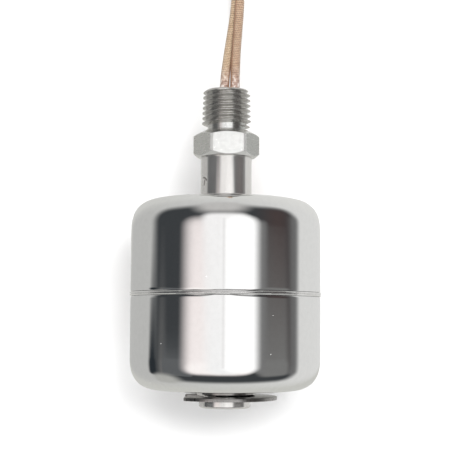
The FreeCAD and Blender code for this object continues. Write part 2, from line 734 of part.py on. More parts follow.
def write_parts():
    """Checks every object and every piece, then writes one STEP file for each piece."""
    doc.recompute()
    for obj in doc.Objects:
        if {"Invalid", "Error"} & set(obj.State):
            raise RuntimeError(f"{obj.Name} failed: {obj.State}")
    for piece in pieces:
        shape = piece.Shape
        if shape.isNull() or not shape.isValid() or len(shape.Solids) != 1:
            raise RuntimeError(f"{piece.Label} isn't one valid solid")
    os.makedirs("parts", exist_ok=True)
    for piece in pieces:
        piece.Shape.exportStep(f"parts/{piece.Label}.step")
        reach = piece.Shape.BoundBox
        print(f"{piece.Label}: {piece.Shape.Volume:.1f} mm3, z {reach.ZMin:.2f} to {reach.ZMax:.2f}")


fill_sheet()
make_hex_fitting()
make_stem()
make_stop_clip()
make_float()
make_magnet()
reed_room = make_reed()
make_wiring()
leads = make_leads()
make_coil("lead_left_coil", COIL_BACK, 0.5)
make_coil("lead_right_coil", f"{COIL_BACK} + {COIL_DEPTH}", 3.5)
make_tie()
buried = [piece for piece in pieces if piece.Label.startswith(("splice_", "return_"))]
buried += [piece for piece in pieces if piece.Label.endswith(("_core", "_blade_upper", "_blade_lower"))]
make_potting([reed_room, *leads, *buried])
write_parts()
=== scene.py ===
"""Looks of the float level switch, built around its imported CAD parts, in metres.

It hangs by its fitting in front of white and is seen from the front. Most shapes are worked
out in millimetres and made metres where their mesh is built.
"""

import functools
import math

import bmesh
import bpy
from mathutils import Matrix, Vector, noise


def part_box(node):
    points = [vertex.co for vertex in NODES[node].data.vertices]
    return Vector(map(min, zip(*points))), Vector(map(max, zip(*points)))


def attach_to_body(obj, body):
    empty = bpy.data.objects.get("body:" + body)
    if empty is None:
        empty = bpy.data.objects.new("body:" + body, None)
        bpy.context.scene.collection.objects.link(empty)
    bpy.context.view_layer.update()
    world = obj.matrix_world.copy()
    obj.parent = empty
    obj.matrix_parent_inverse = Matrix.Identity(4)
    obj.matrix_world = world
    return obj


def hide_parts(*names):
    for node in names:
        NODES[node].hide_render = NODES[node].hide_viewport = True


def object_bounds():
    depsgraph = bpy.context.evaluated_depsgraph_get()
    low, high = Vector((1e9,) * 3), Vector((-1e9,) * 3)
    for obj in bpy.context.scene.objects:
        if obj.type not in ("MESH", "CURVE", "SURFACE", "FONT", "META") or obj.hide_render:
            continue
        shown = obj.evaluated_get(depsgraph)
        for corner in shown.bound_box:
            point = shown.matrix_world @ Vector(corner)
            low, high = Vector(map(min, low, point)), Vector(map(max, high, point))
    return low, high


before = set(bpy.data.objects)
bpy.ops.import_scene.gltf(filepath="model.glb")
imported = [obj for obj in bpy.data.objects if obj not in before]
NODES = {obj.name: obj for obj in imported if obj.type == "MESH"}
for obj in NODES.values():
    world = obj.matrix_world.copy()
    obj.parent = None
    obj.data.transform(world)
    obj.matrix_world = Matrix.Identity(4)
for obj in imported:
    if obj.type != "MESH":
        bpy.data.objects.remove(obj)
CAD_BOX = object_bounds()
MM = 0.001
FULL_TURN = 2 * math.pi


def box_mm(node):
    """Lowest and highest corner of a CAD node, in millimetres."""
    low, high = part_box(node)
    return low / MM, high / MM


STEM_LOW, STEM_HIGH = box_mm("stem_tube")
STEM_RADIUS = STEM_HIGH.x


# ---------------------------------------------------------------- node helpers

# The owner of a node tree is a material or the world.


def feed(owner, value, socket):
    """Puts a number, vector or colour on a node's socket, or links an output to it."""
    if isinstance(value, bpy.types.NodeSocket):
        owner.node_tree.links.new(value, socket)
    elif socket.type == "RGBA":
        socket.default_value = (*value, 1)
    else:
        socket.default_value = value


def add(owner, kind, inputs=None, **properties):
    """A new node with its properties set and its inputs, by name or number, fed."""
    node = owner.node_tree.nodes.new(kind)
    for key, value in properties.items():
        setattr(node, key, value)
    for key, value in (inputs or {}).items():
        feed(owner, value, node.inputs[key])
    return node


def math_node(owner, operation, *values):
    return add(owner, "ShaderNodeMath", dict(enumerate(values)), operation=operation).outputs[0]


def mix_node(owner, share, under, over, blend="MIX"):
    """One colour laid over another by a share."""
    inputs = {0: share, 6: under, 7: over}
    return add(owner, "ShaderNodeMix", inputs, data_type="RGBA", blend_type=blend).outputs[2]


def ramp(owner, source, stops):
    """A colour ramp over stops (position, colour)."""
    node = add(owner, "ShaderNodeValToRGB", {0: source})
    elements = node.color_ramp.elements
    while len(elements) < len(stops):
        elements.new(0.5)
    for element, (position, colour) in zip(elements, stops):
        element.position = position
        element.color = (*colour, 1)
    return node.outputs[0]


def grey(value):
    return (value, value, value)


def separate(owner, vector):
    """A vector's X, Y and Z."""
    return add(owner, "ShaderNodeSeparateXYZ", {0: vector}).outputs


def mapped(owner, scale=(1, 1, 1)):
    """The piece's own coordinates, scaled."""
    place = add(owner, "ShaderNodeTexCoord").outputs["Object"]
    return add(owner, "ShaderNodeMapping", {"Vector": place, "Scale": scale}).outputs[0]


def noise_node(owner, scale, detail, stretch=(1, 1, 1)):
    inputs = {"Vector": mapped(owner, stretch), "Scale": scale, "Detail": detail}
    return add(owner, "ShaderNodeTexNoise", inputs).outputs[0]


def bump(owner, shader, height, distance):
    node = add(owner, "ShaderNodeBump", {"Height": height, "Distance": distance})
    feed(owner, node.outputs[0], shader.inputs["Normal"])


# ---------------------------------------------------------------- materials


def new_material(name):
    """A material with one principled shader, and that shader."""
    material = bpy.data.materials.new(name)
    material.use_nodes = True
    material.node_tree.nodes.clear()
    shader = add(material, "ShaderNodeBsdfPrincipled")
    add(material, "ShaderNodeOutputMaterial", {0: shader.outputs[0]})
    return material, shader


def find_node(material, kind):
    return next(node for node in material.node_tree.nodes if node.type == kind)


def steel(name, bright, dark, rough, spread, line_scale, line_depth, mottle=700, haze=0.0):
    """Bright stainless steel: mottled tone and roughness, with fine tool or polishing lines.

    spread is how far the roughness varies each way, line_scale how close the lines lie along
    each axis, line_depth their depth in metres and haze the share that isn't metallic.
    """
    material, shader = new_material(name)
    shader.inputs["Metallic"].default_value = 1.0 - haze
    tone = ramp(material, noise_node(material, mottle, 6), [(0.32, dark), (0.62, bright)])
    feed(material, tone, shader.inputs["Base Color"])
    lines = noise_node(material, 1.0, 4, line_scale)
    smooth, coarse = grey(rough - spread), grey(rough + spread)
    roughness = ramp(material, lines, [(0.3, smooth), (0.7, coarse)])
    feed(material, roughness, shader.inputs["Roughness"])
    bump(material, shader, lines, line_depth)
    return material


def add_dust(material, cell, share, radius):
    """Pale specks of dust: matt dots, at most one in each cell. The radius is in cells."""
    calc = functools.partial(math_node, material)
    cells = add(material, "ShaderNodeTexVoronoi", {"Vector": mapped(material), "Scale": 1 / cell})
    near = calc("LESS_THAN", cells.outputs["Distance"], radius)
    draw = add(material, "ShaderNodeSeparateColor", {"Color": cells.outputs["Color"]}).outputs[0]
    speck = calc("MULTIPLY", near, calc("LESS_THAN", draw, share))
    metal = find_node(material, "BSDF_PRINCIPLED").inputs["Metallic"]
    feed(material, calc("SUBTRACT", 1.0, speck), metal)


def add_scratch(material, strokes, breadth):
    """Dark scratches: straight strokes in (millimetres round the stem, height), with soft ends."""
    calc = functools.partial(math_node, material)
    place = separate(material, add(material, "ShaderNodeTexCoord").outputs["Object"])
    turn = calc("ARCTAN2", place[0], calc("MULTIPLY", place[1], -1.0))
    round_it = calc("MULTIPLY", turn, STEM_RADIUS)
    height = calc("MULTIPLY", place[2], 1 / MM)
    nearest = None
    for (ax, az), (bx, bz) in strokes:
        length = math.hypot(bx - ax, bz - az)
        dx, dz = (bx - ax) / length, (bz - az) / length
        px, pz = calc("SUBTRACT", round_it, ax), calc("SUBTRACT", height, az)
        along = calc("ADD", calc("MULTIPLY", px, dx), calc("MULTIPLY", pz, dz))
        held = calc("MINIMUM", calc("MAXIMUM", along, 0.0), length)
        off_x = calc("SUBTRACT", px, calc("MULTIPLY", held, dx))
        off_z = calc("SUBTRACT", pz, calc("MULTIPLY", held, dz))
        square = calc("ADD", calc("MULTIPLY", off_x, off_x), calc("MULTIPLY", off_z, off_z))
        gap = calc("SQRT", square)
        nearest = gap if nearest is None else calc("MINIMUM", nearest, gap)
    mark = ramp(material, calc("DIVIDE", nearest, breadth), [(0.4, grey(1)), (1.0, grey(0))])
    colour = find_node(material, "BSDF_PRINCIPLED").inputs["Base Color"]
    marked = mix_node(material, mark, colour.links[0].from_socket, (0.10, 0.07, 0.055))
    feed(material, marked, colour)


# How close the cutter's rings lie on the turned and milled fitting.
RINGS = (500, 500, 2600)

FLOAT_STEEL = steel(
    "polished_float_steel", (0.93, 0.93, 0.925), (0.905, 0.905, 0.90),
    0.055, 0.015, (900, 900, 5200), 0.0000006,
)
add_dust(FLOAT_STEEL, 0.0028, 0.35, 0.035)
STEM_STEEL = steel(
    "drawn_stem_steel", (0.80, 0.785, 0.765), (0.77, 0.75, 0.73),
    0.14, 0.03, (2200, 2200, 50), 0.000012, 900, 0.10,
)
add_scratch(
    STEM_STEEL,
    [((-7.5, -13.2), (-6.6, -13.35)), ((-6.6, -13.35), (-5.9, -14.0)), ((-6.7, -13.9), (-7.1, -15.2))],
    0.22,
)
FITTING_STEEL = steel(
    "milled_fitting_steel", (0.80, 0.80, 0.785), (0.74, 0.74, 0.725),
    0.16, 0.04, RINGS, 0.0000006, 900, 0.05,
)
MILLED_SIDE = steel(
    "milled_side_steel", (0.735, 0.73, 0.70), (0.705, 0.70, 0.67),
    0.28, 0.02, RINGS, 0.0000003, 300, 0.04,
)
# Painted shade: a darker copy of milled_side_steel, for the hexagon's side flats that face +X.
PAINTED_SHADE_SIDE = steel(
    "painted_shade_side_steel", (0.51, 0.515, 0.495), (0.48, 0.485, 0.465),
    0.28, 0.02, RINGS, 0.0000003, 300, 0.04,
)
TURNED_EDGE = steel(
    "turned_edge_steel", (0.92, 0.92, 0.90), (0.86, 0.86, 0.84),
    0.55, 0.06, RINGS, 0.0000010, 900, 0.20,
)
THREAD_STEEL = steel(
    "cut_thread_steel", (0.64, 0.63, 0.605), (0.57, 0.56, 0.54),
    0.20, 0.04, (700, 700, 2600), 0.0000003, 900, 0.08,
)
CLIP_STEEL = steel(
    "stamped_clip_steel", (0.38, 0.37, 0.36), (0.32, 0.31, 0.30),
    0.30, 0.05, (2600, 900, 900), 0.000001,
)
WELD_STEEL = steel(
    "welded_seam_steel", (0.93, 0.925, 0.92), (0.88, 0.875, 0.87),
    0.09, 0.03, (1800, 1800, 400), 0.000001,
)
TINNED = steel(
    "tinned_copper", (0.80, 0.78, 0.76), (0.60, 0.58, 0.56),
    0.30, 0.08, (4000, 4000, 900), 0.00001,
)
REED_METAL = steel(
    "reed_metal", (0.72, 0.70, 0.66), (0.56, 0.54, 0.52),
    0.28, 0.06, (3000, 3000, 700), 0.000006,
)


def plain(name, light, dark, rough, scale, depth):
    """A matt solid with mottled colour and a fine uneven skin."""
    material, shader = new_material(name)
    shader.inputs["Roughness"].default_value = rough
    spots = noise_node(material, scale, 5)
    tone = ramp(material, spots, [(0.35, dark), (0.65, light)])
    feed(material, tone, shader.inputs["Base Color"])
    bump(material, shader, spots, depth)
    return material


RESIN = plain("casting_resin", (0.86, 0.84, 0.79), (0.78, 0.75, 0.69), 0.35, 900, 0.00003)
FERRITE = plain("sintered_ferrite", (0.09, 0.09, 0.10), (0.04, 0.04, 0.045), 0.65, 2500, 0.00001)
SHRINK = plain("heat_shrink", (0.06, 0.06, 0.06), (0.03, 0.03, 0.03), 0.45, 1500, 0.00001)
NYLON = plain("natural_nylon", (0.84, 0.83, 0.79), (0.78, 0.77, 0.72), 0.4, 1200, 0.00001)


def glass_material():
    material, shader = new_material("capsule_glass")
    shader.inputs["Transmission Weight"].default_value = 1.0
    shader.inputs["IOR"].default_value = 1.5
    shader.inputs["Roughness"].default_value = 0.03
    spots = noise_node(material, 400, 2)
    tone = ramp(material, spots, [(0.3, (0.70, 0.86, 0.74)), (0.7, (0.78, 0.90, 0.80))])
    feed(material, tone, shader.inputs["Base Color"])
    return material


GLASS = glass_material()


def braid_material(name, light, dark, shares, inward):
    """Varnished glass braid: rows of fine picks across it, greyed by resin where it comes out.

    shares gives the way run along the lead at even steps of its parameter; inward is the side
    (+1 or -1 along X) on which the other lead lies close; the shade it casts there is painted into the
    colour.
    """
    strands = 12
    stain_top, stain_full, ragged = 0.0200, 0.0145, 0.004
    front = 0.01  # half depth of the stretch that rises from the fitting
    material, shader = new_material(name)
    calc = functools.partial(math_node, material)
    shader.inputs["Roughness"].default_value = 0.5
    shader.inputs["Sheen Weight"].default_value = 0.15
    coordinates = add(material, "ShaderNodeTexCoord")
    skin = separate(material, coordinates.outputs["UV"])
    even = add(material, "ShaderNodeFloatCurve", {"Value": skin[0]})
    even.mapping.use_clip = False
    track = even.mapping.curves[0]
    for number, share in enumerate(shares[1:-1], 1):
        track.points.new(number / (len(shares) - 1), share)
    for point in track.points:
        point.handle_type = "VECTOR"
    even.mapping.update()

    along = calc("MULTIPLY", even.outputs[0], LEAD_LENGTH / PICK)
    row = calc("ADD", along, calc("MULTIPLY", noise_node(material, 500, 2), 0.9))
    wave = calc("SINE", calc("MULTIPLY", row, FULL_TURN))
    rows = calc("ADD", calc("MULTIPLY", wave, 0.5), 0.5)
    turn = calc("ADD", calc("MULTIPLY", skin[1], strands), calc("MULTIPLY", along, 0.5))
    ends = calc("MULTIPLY", calc("SINE", calc("MULTIPLY", turn, FULL_TURN)), 0.22)
    weave = calc("ADD", rows, ends)
    spots = noise_node(material, 1100, 4)
    tone = ramp(material, spots, [(0.3, dark), (0.7, light)])
    shade = ramp(material, weave, [(0.0, grey(0.50)), (0.75, grey(1.06))])
    woven = mix_node(material, 1.0, tone, shade, "MULTIPLY")

    place = separate(material, coordinates.outputs["Object"])
    rising = calc("LESS_THAN", calc("ABSOLUTE", place[1]), front)
    wet = add(material, "ShaderNodeMapRange", {
        "Value": calc("ADD", place[2], calc("MULTIPLY", spots, ragged)),
        "From Min": stain_top, "From Max": stain_full, "To Max": 0.80,
    }).outputs[0]
    stain = ramp(material, spots, [
        (0.36, (0.22, 0.14, 0.12)), (0.52, (0.46, 0.33, 0.29)), (0.64, (0.80, 0.76, 0.74)),
    ])
    greyed = mix_node(material, calc("MULTIPLY", wet, rising), woven, stain)

    # Painted shade: on the stretch that rises from the fitting, the side facing the other lead is
    # darkened towards brown, where that lead shades it.
    facing = separate(material, coordinates.outputs["Normal"])
    painted_shade_share = add(material, "ShaderNodeMapRange", {
        "Value": calc("MULTIPLY", facing[0], inward),
        "From Min": 0.55, "From Max": 0.85, "To Max": 0.9,
    }).outputs[0]
    with_painted_shade = mix_node(material, calc("MULTIPLY", painted_shade_share, rising), greyed, (0.27, 0.12, 0.05))
    feed(material, with_painted_shade, shader.inputs["Base Color"])
    bump(material, shader, weave, 0.00010)
    return material


# ---------------------------------------------------------------- mesh helpers

SAME_PLACE = 1e-7  # metres


def mesh_object(name, vertices, faces, material):
    """A smooth mesh from points in millimetres, outward normals, one material."""
    mesh = bpy.data.meshes.new(name)
    mesh.from_pydata([Vector(v) * MM for v in vertices], [], faces)
    work = bmesh.new()
    work.from_mesh(mesh)
    bmesh.ops.remove_doubles(work, verts=work.verts, dist=SAME_PLACE)
    bmesh.ops.dissolve_degenerate(work, edges=work.edges, dist=SAME_PLACE)
    bmesh.ops.recalc_face_normals(work, faces=work.faces)
    work.to_mesh(mesh)
    work.free()
    mesh.materials.append(material)
    for face in mesh.polygons:
        face.use_smooth = True
    obj = bpy.data.objects.new(name, mesh)
    bpy.context.scene.collection.objects.link(obj)
    return obj


def sharpen(obj, degrees):
    """Splits shading at edges that turn more than that."""
    work = bmesh.new()
    work.from_mesh(obj.data)
    for edge in work.edges:
        if len(edge.link_faces) == 2:
            edge.smooth = edge.calc_face_angle(0) < math.radians(degrees)
    work.to_mesh(obj.data)
    work.free()


def grid_faces(rows, columns, close_rows):
    """Quads over rings of points: around each ring, and from ring to ring."""
    faces = []
    for j in range(rows if close_rows else rows - 1):
        k = (j + 1) % rows
        for i in range(columns):
            n = (i + 1) % columns
            faces.append((j * columns + i, j * columns + n, k * columns + n, k * columns + i))
    return faces


def lathe(name, outline, material, body, nodes, segments=256, ripple=None):
    """A closed outline (radius, z) in millimetres turned about the stem, with an uneven skin."""
    points = []
    for radius, z in outline:
        for i in range(segments):
            a = FULL_TURN * i / segments
            r = radius + (ripple(a, radius, z) if ripple else 0)
            points.append((r * math.cos(a), r * math.sin(a), z))
    obj = mesh_object(name, points, grid_faces(len(outline), segments, True), material)
    sharpen(obj, 32)
    return attach(obj, body, nodes)


def attach(obj, body, nodes):
    """Ties a piece to its body and hides the CAD nodes it stands for."""
    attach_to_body(obj, body)
    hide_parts(*nodes)
    return obj


def rounded(corners, radii, steps=4):
    """An outline with its corners rounded: radii has one radius a corner, 0 for a sharp one."""
    result = []
    count = len(corners)
    for k, (corner, radius) in enumerate(zip(corners, radii)):
        here = Vector(corner)
        before, after = Vector(corners[k - 1]), Vector(corners[(k + 1) % count])
        if radius <= 0:
            result.append(tuple(here))
            continue
        a, b = (before - here).normalized(), (after - here).normalized()
        half = a.angle(b) / 2
        reach = radius / math.tan(half)
        middle = here + (a + b).normalized() * (radius / math.sin(half))
        start, end = here + a * reach - middle, here + b * reach - middle
        whole = start.angle_signed(end)
        for step in range(steps + 1):
            turn = -whole * step / steps
            arm = Vector((
                start.x * math.cos(turn) - start.y * math.sin(turn),
                start.x * math.sin(turn) + start.y * math.cos(turn),
            ))
            result.append(tuple(middle + arm))
    return result


# ---------------------------------------------------------------- camera and light


def make_camera():
    """In front of the float, a little below its middle, looking up a little."""
    data = bpy.data.cameras.new("camera")
    data.sensor_width = 36
    data.lens = 99.74
    data.clip_start = 0.01
    data.clip_end = 10
    camera = bpy.data.objects.new("camera", data)
    bpy.context.scene.collection.objects.link(camera)
    yaw, pitch, roll = (math.radians(angle) for angle in (-0.035, 4.474, 0.401))
    forward = Vector((
        math.sin(yaw) * math.cos(pitch), math.cos(yaw) * math.cos(pitch), math.sin(pitch)
    ))
    level = Vector((math.cos(yaw), -math.sin(yaw), 0))
    up = level.cross(forward)
    right = math.cos(roll) * level + math.sin(roll) * up
    top = -math.sin(roll) * level + math.cos(roll) * up
    turn = Matrix((right, top, -forward)).transposed()
    camera.rotation_mode = "QUATERNION"
    camera.rotation_quaternion = turn.to_quaternion()
    camera.location = Vector((-0.025, -335.1, -51.85)) * MM
    bpy.context.scene.camera = camera


# What the polished steel mirrors, laid out as on a sheet that faces the part: x, z, half width,
# half height, corner radius, softness and colour. Later ones lie on earlier ones.
PANELS = (
    # dark frame, with its paler right rim, darkest left rim and warm upper right part
    (-0.02, -0.08, 1.07, 0.65, 0.42, 0.16, (0.046, 0.050, 0.054)),
    (0.97, -0.06, 0.12, 0.36, 0.11, 0.12, (0.15, 0.15, 0.15)),
    (-1.12, -0.24, 0.14, 0.27, 0.13, 0.07, (0.024, 0.029, 0.034)),
    (0.64, 0.14, 0.20, 0.38, 0.18, 0.18, (0.066, 0.050, 0.049)),
    # paler patches low in the frame, left and right
    (-0.86, -0.24, 0.07, 0.24, 0.07, 0.09, (0.145, 0.145, 0.145)),
    (-0.60, -0.22, 0.24, 0.20, 0.05, 0.02, (0.115, 0.12, 0.125)),
    (-0.84, -0.70, 0.27, 0.28, 0.22, 0.13, (0.44, 0.44, 0.42)),
    (0.62, -0.20, 0.24, 0.215, 0.12, 0.07, (0.19, 0.19, 0.187)),
    (0.39, -0.09, 0.07, 0.19, 0.06, 0.05, (0.19, 0.19, 0.19)),
    # grey patch above the screen
    (-0.05, 0.53, 0.26, 0.25, 0.20, 0.14, (0.53, 0.52, 0.51)),
    # bright screen: pinkish left part, middle, raised top and white right part
    (-0.10, -0.08, 0.355, 0.21, 0.16, 0.11, (0.93, 0.86, 0.85)),
    (-0.06, -0.16, 0.35, 0.13, 0.12, 0.07, (1.03, 0.98, 0.965)),
    (0.0, -0.05, 0.19, 0.23, 0.14, 0.08, (0.96, 0.96, 0.96)),
    (0.0, 0.12, 0.24, 0.12, 0.10, 0.07, (0.97, 0.96, 0.96)),
    (0.172, -0.03, 0.175, 0.20, 0.13, 0.07, (1.18, 1.18, 1.18)),
    # thin grey streak down the screen
    (-0.02, 0.0, 0.010, 0.13, 0.01, 0.02, (0.84, 0.83, 0.83)),
)
WHITE = (1, 1, 1)
PLAIN_LIGHT = 0.72


def make_world():
    """White to the camera and even on plain surfaces. Metal sees a pale grey studio, and in front
    of the part a bright screen in a dark frame."""
    world = bpy.data.worlds.new("studio")
    bpy.context.scene.world = world
    world.use_nodes = True
    world.node_tree.nodes.clear()
    calc = functools.partial(math_node, world)
    toward = separate(world, add(world, "ShaderNodeTexCoord").outputs["Generated"])
    nearly_behind = 0.02  # keeps the sheet finite
    forward = calc("MAXIMUM", calc("SUBTRACT", 1.0, toward[1]), nearly_behind)
    x = calc("DIVIDE", toward[0], forward)
    z = calc("DIVIDE", toward[2], forward)

    def step(value, low, high):
        """0 up to low, 1 from high on, and smooth between them."""
        inputs = {0: value, 1: low, 2: high}
        node = add(world, "ShaderNodeMapRange", inputs, interpolation_type="SMOOTHSTEP")
        return node.outputs[0]

    def panel(cx, cz, hx, hz, corner, soft):
        """1 inside a rounded rectangle on the sheet, 0 outside, soft at the edge."""
        qx = calc("SUBTRACT", calc("ABSOLUTE", calc("SUBTRACT", x, cx)), hx - corner)
        qz = calc("SUBTRACT", calc("ABSOLUTE", calc("SUBTRACT", z, cz)), hz - corner)
        qx, qz = calc("MAXIMUM", qx, 0.0), calc("MAXIMUM", qz, 0.0)
        square = calc("ADD", calc("MULTIPLY", qx, qx), calc("MULTIPLY", qz, qz))
        gap = calc("SUBTRACT", calc("SQRT", square), corner)
        return calc("SUBTRACT", 1.0, step(gap, -soft, soft))

    side = step(x, -1.6, 1.6)
    level = mix_node(world, side, (0.50, 0.50, 0.49), (0.72, 0.72, 0.71))
    above = mix_node(world, side, (0.62, 0.62, 0.60), (0.74, 0.74, 0.72))
    tone = mix_node(world, step(z, 0.4, 1.8), level, above)
    drop = calc("MULTIPLY", z, -1.0)
    tone = mix_node(world, step(drop, 0.6, 2.0), tone, (0.58, 0.58, 0.55))
    for *form, colour in PANELS:
        tone = mix_node(world, panel(*form), tone, colour)

    seen = add(world, "ShaderNodeLightPath").outputs
    studio = add(world, "ShaderNodeBackground", {0: tone}).outputs[0]
    even = add(world, "ShaderNodeBackground", {0: WHITE, 1: PLAIN_LIGHT}).outputs[0]
    white = add(world, "ShaderNodeBackground", {0: WHITE}).outputs[0]
    lit = add(world, "ShaderNodeMixShader", {0: seen["Is Glossy Ray"], 1: even, 2: studio})
    clear = calc("MAXIMUM", seen["Is Camera Ray"], seen["Is Transmission Ray"])
    both = add(world, "ShaderNodeMixShader", {0: clear, 1: lit.outputs[0], 2: white})
    add(world, "ShaderNodeOutputWorld", {0: both.outputs[0]})


MIDDLE = Vector((0, 0, -0.04))  # what the lamps point at


def make_lamp(name, size, energy, place):
    """A soft round lamp in front that lights but isn't mirrored."""
    data = bpy.data.lights.new(name, "AREA")
    data.shape = "DISK"
    data.size = size
    data.energy = energy
    lamp = bpy.data.objects.new(name, data)
    bpy.context.scene.collection.objects.link(lamp)
    lamp.location = place
    aim = MIDDLE - lamp.location
    lamp.rotation_mode = "QUATERNION"
    lamp.rotation_quaternion = aim.to_track_quat("-Z", "Y")
    lamp.visible_glossy = False


def stage_plane(name, corners, glow, albedo, one_sided):
    """A pale plane: its own white comes up to the background's, and shadows stay on it."""
    mesh = bpy.data.meshes.new(name)
    mesh.from_pydata(corners, [], [(0, 1, 2, 3)])
    plane = bpy.data.objects.new(name, mesh)
    bpy.context.scene.collection.objects.link(plane)
    material, shader = new_material(name + "_white")
    shader.inputs["Base Color"].default_value = (albedo, albedo, albedo, 1)
    shader.inputs["Roughness"].default_value = 1.0
    shader.inputs["Specular IOR Level"].default_value = 0.0
    shader.inputs["Emission Color"].default_value = (*WHITE, 1)
    seen = add(material, "ShaderNodeLightPath").outputs["Is Camera Ray"]
    extra = math_node(material, "MULTIPLY", seen, glow)
    feed(material, extra, shader.inputs["Emission Strength"])
    if one_sided:
        behind = add(material, "ShaderNodeNewGeometry").outputs["Backfacing"]
        gone = add(material, "ShaderNodeBsdfTransparent").outputs[0]
        either = add(material, "ShaderNodeMixShader", {0: behind, 1: shader.outputs[0], 2: gone})
        feed(material, either.outputs[0], find_node(material, "OUTPUT_MATERIAL").inputs[0])
    mesh.materials.append(material)
    plane.visible_glossy = False


def make_stage():
    """A pale floor well below the part, and a pale screen close behind it, seen from the front only."""
    reach, wide, top = 3.0, 0.35, 0.25
    z = CAD_BOX[0].z - 0.12
    y = CAD_BOX[1].y + 0.0015
    floor = [(-reach, -reach, z), (reach, -reach, z), (reach, reach, z), (-reach, reach, z)]
    stage_plane("floor", floor, 0.45, 0.85, False)
    screen = [(-wide, y, z), (wide, y, z), (wide, y, top), (-wide, y, top)]
    stage_plane("screen", screen, 0.045, 0.80, True)


make_camera()
make_world()
make_lamp("key", 0.24, 4.4, (0.165, -0.88, 0.13))
make_lamp("fill", 0.26, 2.6, (-0.07, -0.88, 0.165))
make_stage()


# ---------------------------------------------------------------- free leads

# The same points as the solids' routes, in metres.
RIGHT_ROUTE = [
    (0.0021, 0, 0.0020), (0.0021, 0, 0.01195), (0.00245, -0.0005, 0.02195),
    (0.00335, -0.0008, 0.03295), (0.0039, -0.0007, 0.0510), (0.0038, 0.01665, 0.0610),
    (0.0036, 0.0340, 0.0510), (0.0029, 0.0343, 0.0325), (0.0024, 0.0338, 0.0140),
    (0.0038, 0.0343, -0.0050), (0.0072, 0.0340, -0.0225),
]
LEFT_ROUTE = [
    (-0.00085, 0, 0.0020), (-0.00085, 0, 0.01195), (0.0004, 0.00125, 0.02195),
    (0.00215, 0.0018, 0.03295), (0.0032, 0.0019, 0.0493), (0.0034, 0.01665, 0.0574),
    (0.0035, 0.0314, 0.0493), (0.0029, 0.0317, 0.0320), (0.0024, 0.0312, 0.0140),
    (0.0038, 0.0317, -0.0050), (0.0072, 0.0314, -0.0225),
]
LEAD = 0.0025
LEAD_LENGTH = 0.6
PICK = 0.00062  # from row to row of the braid
TURN = 0.0026  # from turn to turn in a coil
COIL_X, COIL_Z = -0.0075, -0.04435
COIL_INNER = 0.0095
PER_TURN = 16  # points in a turn
TURNS = 5
STEP_START, STEP_END = 2.6, 3.0  # turns wound where a coil changes layers


def coil_points(first_layer, last_layer):
    """Five turns: three inwards in one layer, then two outwards in the next."""
    points = []
    inmost = COIL_INNER + 0.5 * TURN
    for k in range(TURNS * PER_TURN + 1):
        angle = FULL_TURN * k / PER_TURN
        done = k / PER_TURN
        if done <= STEP_START:
            radius = inmost + 2 * TURN - TURN * min(done, 2.0)
            y = first_layer
        elif done <= STEP_END:
            radius = inmost
            share = (done - STEP_START) / (STEP_END - STEP_START)
            y = first_layer + (last_layer - first_layer) * share
        else:
            radius = inmost + TURN * min(1.0, (done - STEP_END) / 2.0)
            y = last_layer
        # polygon corners stand out so that the curve between them keeps the radius
        corner = radius / math.cos(math.pi / PER_TURN) ** 2
        points.append((COIL_X + corner * math.cos(angle), y, COIL_Z - corner * math.sin(angle)))
    return points


def way_run(points, samples=56, fine=3000):
    """Share of a clamped quadratic spline's length run at even steps of its parameter."""
    spans = len(points) - 2
    knots = [0, 0] + list(range(spans + 1)) + [spans, spans]
    lengths = [0.0]
    last = None
    for step in range(fine + 1):
        u = min(spans * step / fine, spans - 1e-9)
        k = int(u)
        a, b, c = (Vector(p) for p in points[k:k + 3])
        t0, t1, t2, t3 = knots[k + 1:k + 5]
        ab = a.lerp(b, (u - t0) / (t2 - t0))
        bc = b.lerp(c, (u - t1) / (t3 - t1))
        here = ab.lerp(bc, (u - t1) / (t2 - t1))
        if last is not None:
            lengths.append(lengths[-1] + (here - last).length)
        last = here
    return [lengths[round(fine * i / samples)] / lengths[-1] for i in range(samples + 1)]


def lead_curve(name, route, first_layer, last_layer, nodes, light, dark, inward):
    """A lead from the resin over its arch into its coil, and out to the stripped end."""
    entry = COIL_X + COIL_INNER + 2.5 * TURN
    tail = COIL_X + COIL_INNER + 1.5 * TURN
    lead_in, half_out, lead_out = 0.008, 0.006, 0.013
    points = list(route)
    points.append((entry, first_layer, COIL_Z + lead_in))
    points += coil_points(first_layer, last_layer)
    points.append((tail, last_layer, COIL_Z - half_out))
    points.append((tail, last_layer, COIL_Z - lead_out))
    curve = bpy.data.curves.new(name, "CURVE")
    curve.dimensions = "3D"
    curve.bevel_depth = LEAD / 2
    curve.bevel_resolution = 6
    curve.use_fill_caps = True
    spline = curve.splines.new("NURBS")
    spline.points.add(len(points) - 1)
    for point, place in zip(spline.points, points):
        point.co = (*place, 1)
    spline.order_u = 3
    spline.use_endpoint_u = True
    spline.resolution_u = 8
    curve.materials.append(braid_material(name + "_braid", light, dark, way_run(points), inward))
    lead = bpy.data.objects.new(name, curve)
    bpy.context.scene.collection.objects.link(lead)
    return attach(lead, "stem", nodes)


def tip(name, node):
    """A stripped end: tinned strands laid in a right-hand twist, cut square."""
    low, high = box_mm(node)
    x, y = (low.x + high.x) / 2, (low.y + high.y) / 2
    length = high.z - low.z
    rows, columns = 56, 42
    radius, hollow, strands, lay = 0.6, 0.14, 7, 14
    points = []
    for j in range(rows + 1):
        down = length * j / rows
        for i in range(columns):
            a = FULL_TURN * i / columns
            lobe = abs(math.cos(strands / 2 * (a + FULL_TURN * down / lay)))
            r = radius * (1 - hollow + hollow * lobe)
            points.append((x + r * math.cos(a), y + r * math.sin(a), high.z - down))
    faces = grid_faces(rows + 1, columns, False)
    faces.append(tuple(range(columns)))
    faces.append(tuple(rows * columns + i for i in range(columns)))
    obj = mesh_object(name, points, faces, TINNED)
    sharpen(obj, 50)
    return attach(obj, "stem", [node])


